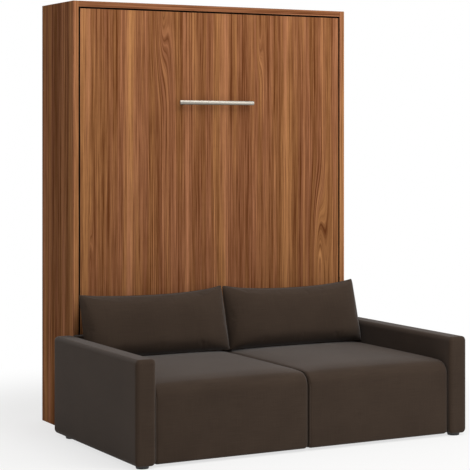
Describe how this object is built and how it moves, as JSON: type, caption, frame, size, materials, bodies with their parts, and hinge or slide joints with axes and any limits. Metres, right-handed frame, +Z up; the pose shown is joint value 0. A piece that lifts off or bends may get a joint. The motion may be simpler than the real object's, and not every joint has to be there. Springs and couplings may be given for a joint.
{
  "type": "wall bed with sofa",
  "caption": "Upright cabinet whose flush front folds down as a double bed, hinged low above an upholstered sofa with loose back cushions, with folding legs and gas springs.",
  "frame": {"origin": "on the floor, under the middle of the box round the cabinet and the sofa with the bed shut", "axes": "+Z up, +X to the right when facing the front, -Y out of the front towards the sitter, +Y to the wall"},
  "size_m": [1.82, 1.4, 2.18],
  "materials": {
    "walnut_board": "satin walnut decor",
    "back_sheet": "matt",
    "upholstery": "woven, matt",
    "satin_metal": "satin",
    "painted_steel": "powder coat",
    "beech": "satin",
    "ticking": "quilted, matt",
    "webbing": "woven, matt",
    "black_plastic": "matt",
    "black_tube": "gloss paint",
    "chromed_rod": "polished"
  },
  "bodies": {
    "cabinet_and_sofa": {"side_panel_left": "walnut_board", "side_panel_right": "walnut_board", "top_panel": "walnut_board", "base_panel": "walnut_board", "lower_back_rail": "walnut_board", "middle_back_rail": "walnut_board", "upper_back_rail": "walnut_board", "lower_front_panel": "walnut_board", "back_panel": "back_sheet", "arm_left": "upholstery", "arm_right": "upholstery", "seat_left": "upholstery", "seat_right": "upholstery", "sofa_back": "upholstery", "wall_angle_left": "painted_steel", "wall_angle_right": "painted_steel", "hinge_plate_left": "painted_steel", "hinge_plate_right": "painted_steel", "arm_foot_front_left": "black_plastic", "arm_foot_front_right": "black_plastic", "arm_foot_rear_left": "black_plastic", "arm_foot_rear_right": "black_plastic", "seat_foot_front": "black_plastic", "seat_foot_rear": "black_plastic"},
    "bed": {"front_panel": "walnut_board", "handle": "satin_metal", "frame_rail_left": "painted_steel", "frame_rail_right": "painted_steel", "frame_rail_head": "painted_steel", "frame_rail_foot": "painted_steel", "frame_rail_centre": "painted_steel", "slat_01": "beech", "slat_02": "beech", "slat_03": "beech", "slat_04": "beech", "slat_05": "beech", "slat_06": "beech", "slat_07": "beech", "slat_08": "beech", "slat_09": "beech", "slat_10": "beech", "slat_11": "beech", "slat_12": "beech", "mattress": "ticking", "mattress_strap_1": "webbing", "mattress_strap_2": "webbing", "bed_bracket_left": "painted_steel", "bed_bracket_right": "painted_steel", "leg_pin_left": "painted_steel", "leg_pin_right": "painted_steel"},
    "leg_left": {"leg_left": "painted_steel", "leg_glide_left": "black_plastic"},
    "leg_right": {"leg_right": "painted_steel", "leg_glide_right": "black_plastic"},
    "spring_tube_left": {"spring_tube_left": "black_tube"},
    "spring_tube_right": {"spring_tube_right": "black_tube"},
    "spring_rod_left": {"spring_rod_left": "chromed_rod"},
    "spring_rod_right": {"spring_rod_right": "chromed_rod"},
    "cushion_left": {"back_cushion_left": "upholstery"},
    "cushion_right": {"back_cushion_right": "upholstery"}
  },
  "joints": [
    {"name": "bed_fold", "type": "hinge", "parent": "cabinet_and_sofa", "child": "bed", "pos_m": [0, 0.318, 0.587], "axis": [1, 0, 0], "range_deg": [0, 90]},
    {"name": "leg_swing_left", "type": "hinge", "parent": "bed", "child": "leg_left", "pos_m": [-0.739, 0.35, 2.125], "axis": [1, 0, 0], "range_deg": [0, 270]},
    {"name": "cushion_tip_left", "type": "hinge", "parent": "cabinet_and_sofa", "child": "cushion_left", "pos_m": [-0.405, 0.12899, 0.466], "axis": [1, 0, 0], "range_deg": [0, 106.1]},
    {"name": "spring_swing_left", "type": "hinge", "parent": "cabinet_and_sofa", "child": "spring_tube_left", "pos_m": [-0.755, 0.488, 1.117], "axis": [1, 0, 0], "range_deg": [0, 19.82]},
    {"name": "spring_stroke_left", "type": "slide", "parent": "spring_tube_left", "child": "spring_rod_left", "axis": [0, 0.1888, 0.982], "range_m": [0, 0.2783]},
    {"name": "leg_swing_right", "type": "hinge", "parent": "bed", "child": "leg_right", "pos_m": [0.739, 0.35, 2.125], "axis": [1, 0, 0], "range_deg": [0, 270]},
    {"name": "cushion_tip_right", "type": "hinge", "parent": "cabinet_and_sofa", "child": "cushion_right", "pos_m": [0.405, 0.12899, 0.466], "axis": [1, 0, 0], "range_deg": [0, 106.1]},
    {"name": "spring_swing_right", "type": "hinge", "parent": "cabinet_and_sofa", "child": "spring_tube_right", "pos_m": [0.755, 0.488, 1.117], "axis": [1, 0, 0], "range_deg": [0, 19.82]},
    {"name": "spring_stroke_right", "type": "slide", "parent": "spring_tube_right", "child": "spring_rod_right", "axis": [0, 0.1888, 0.982], "range_m": [0, 0.2783]}
  ],
  "couplings": [
    {"joint": "leg_swing_left", "follows": "bed_fold", "ratio": 3},
    {"joint": "cushion_tip_left", "follows": "bed_fold", "ratio": 1.1778},
    {"joint": "spring_swing_left", "follows": "bed_fold", "ratio": 0.22001},
    {"joint": "spring_stroke_left", "follows": "bed_fold", "m_per_rad": 0.17702},
    {"joint": "leg_swing_right", "follows": "bed_fold", "ratio": 3},
    {"joint": "cushion_tip_right", "follows": "bed_fold", "ratio": 1.1778},
    {"joint": "spring_swing_right", "follows": "bed_fold", "ratio": 0.22001},
    {"joint": "spring_stroke_right", "follows": "bed_fold", "m_per_rad": 0.17702}
  ]
}
